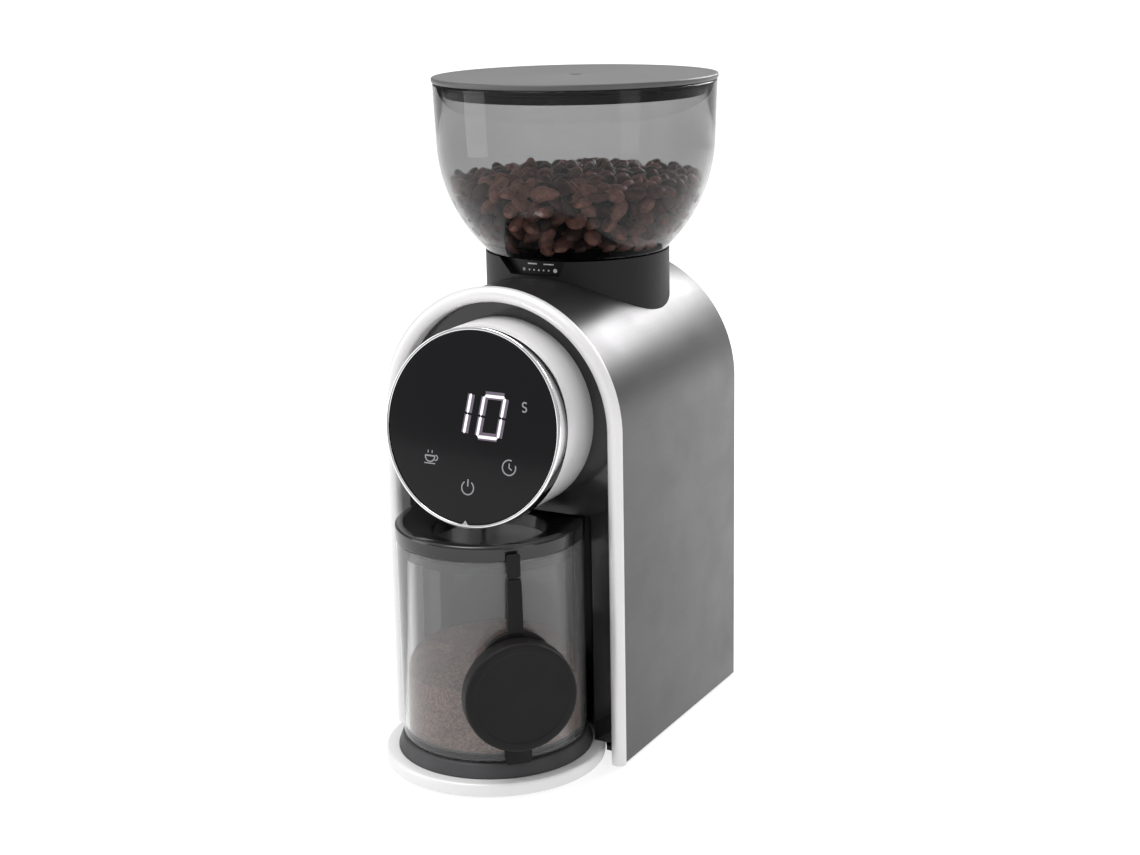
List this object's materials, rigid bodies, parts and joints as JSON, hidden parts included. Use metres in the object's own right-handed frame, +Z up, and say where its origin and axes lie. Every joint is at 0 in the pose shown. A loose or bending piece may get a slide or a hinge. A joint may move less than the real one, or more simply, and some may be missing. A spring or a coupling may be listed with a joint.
{
  "type": "burr coffee grinder",
  "caption": "Conical burr coffee grinder with a clear bean hopper, round display with a turning ring, arched metal body and a grounds jar with a tethered stopper.",
  "frame": {"origin": "on the surface the grinder stands on, in the middle of its outline seen from above", "axes": "+Z up, -Y towards the user (display and jar side), +X to the user's right"},
  "size_m": [0.141, 0.2226, 0.322],
  "materials": {
    "shell_metal": "satin",
    "satin_metal": "satin",
    "chrome_trim": "polished",
    "gloss_black": "gloss",
    "matte_black": "matte",
    "dark_grey_plastic": "matte",
    "inner_plastic": "matte",
    "rubber_black": "matte",
    "soft_black": "matte",
    "seal_black": "satin",
    "lid_grey": "matte",
    "smoke_clear": "gloss",
    "display_black": "gloss",
    "circuit_board": "satin",
    "steel": "satin",
    "burr_steel": "satin",
    "bronze": "satin",
    "nylon_white": "matte",
    "motor_steel": "satin",
    "rotor_copper": "satin",
    "wire_red": "satin",
    "roasted_beans": "satin",
    "ground_coffee": "matte"
  },
  "bodies": {
    "housing": {"body_shell": "shell_metal", "front_bezel": "satin_metal", "front_panel": "gloss_black", "back_cover": "matte_black", "base_pan": "matte_black", "base_dish": "satin_metal", "jar_platform": "dark_grey_plastic", "rubber_feet": "rubber_black", "base_screws": "steel", "back_screws": "steel", "cord_gland": "rubber_black", "chassis": "inner_plastic", "control_drum": "satin_metal", "display_glass": "display_black", "display_board": "circuit_board", "collar": "matte_black", "burr_chamber": "inner_plastic", "chamber_screws": "steel", "shaft_bushes": "bronze", "gearbox_base": "inner_plastic", "gearbox_cover": "inner_plastic", "gearbox_screws": "steel", "idler_pin": "steel", "motor_can": "motor_steel", "motor_end_cap": "matte_black", "motor_mounts": "rubber_black", "control_board": "circuit_board", "wire_harness": "wire_red", "interlock_switch": "matte_black", "grounds_chute": "inner_plastic"},
    "dial": {"dial_ring": "chrome_trim"},
    "setting": {"setting_ring": "matte_black"},
    "carrier": {"burr_carrier": "inner_plastic", "ring_burr": "burr_steel"},
    "hopper": {"hopper_bowl": "smoke_clear", "coffee_beans": "roasted_beans"},
    "hopper_cover": {"hopper_lid": "lid_grey", "hopper_lid_seal": "seal_black"},
    "motor_drive": {"motor_rotor": "rotor_copper", "motor_pinion": "bronze"},
    "idler": {"idler_gear": "nylon_white"},
    "burr_drive": {"drive_shaft": "steel", "output_gear": "nylon_white", "cone_burr": "burr_steel", "feed_auger": "burr_steel", "burr_bolt": "steel", "impeller": "nylon_white"},
    "jar": {"grounds_jar": "smoke_clear", "ground_coffee": "ground_coffee"},
    "jar_cover": {"jar_lid": "gloss_black", "jar_lid_gasket": "seal_black"},
    "strap_root": {"strap_link": "soft_black"},
    "stopper_body": {"stopper": "soft_black"}
  },
  "joints": [
    {"name": "dial_turn", "type": "hinge", "parent": "housing", "child": "dial", "pos_m": [0, -0.06635, 0.168], "axis": [0, -0.9854, 0.1702], "continuous": true},
    {"name": "grind_adjust", "type": "hinge", "parent": "housing", "child": "setting", "pos_m": [0, 0.04084, 0.236], "axis": [0, 0, 1], "range_deg": [-35, 35]},
    {"name": "carrier_thread", "type": "slide", "parent": "setting", "child": "carrier", "axis": [0, 0, 1], "range_m": [-0.0004, 0.0004]},
    {"name": "hopper_lift", "type": "slide", "parent": "setting", "child": "hopper", "axis": [0, 0, 1], "range_m": [0, 0.08]},
    {"name": "hopper_lid_lift", "type": "slide", "parent": "hopper", "child": "hopper_cover", "axis": [0, 0, 1], "range_m": [0, 0.06]},
    {"name": "motor_spin", "type": "hinge", "parent": "housing", "child": "motor_drive", "pos_m": [0, 0.04084, 0.06], "axis": [0, 0, 1], "continuous": true},
    {"name": "idler_spin", "type": "hinge", "parent": "housing", "child": "idler", "pos_m": [0.02598, 0.05584, 0.13], "axis": [0, 0, 1], "continuous": true},
    {"name": "burr_spin", "type": "hinge", "parent": "housing", "child": "burr_drive", "pos_m": [0, 0.04084, 0.18], "axis": [0, 0, 1], "continuous": true},
    {"name": "jar_slide", "type": "slide", "parent": "housing", "child": "jar", "axis": [0, -1, 0], "range_m": [0, 0.15]},
    {"name": "jar_lid_twist", "type": "hinge", "parent": "jar", "child": "jar_cover", "pos_m": [0, -0.05215, 0.115], "axis": [0, 0, 1], "range_deg": [-40, 0]},
    {"name": "strap_fold", "type": "hinge", "parent": "jar_cover", "child": "strap_root", "pos_m": [0.03263, -0.08654, 0.116], "axis": [-0.7254, -0.6884, 0], "range_deg": [0, 150]},
    {"name": "stopper_fold", "type": "hinge", "parent": "strap_root", "child": "stopper_body", "pos_m": [0.03263, -0.08654, 0.1043], "axis": [-0.7254, -0.6884, 0], "range_deg": [0, 120]}
  ],
  "couplings": [
    {"joint": "carrier_thread", "follows": "grind_adjust", "m_per_rad": 0.00063662},
    {"joint": "idler_spin", "follows": "motor_spin", "ratio": -0.25},
    {"joint": "burr_spin", "follows": "motor_spin", "ratio": 0.069149}
  ]
}
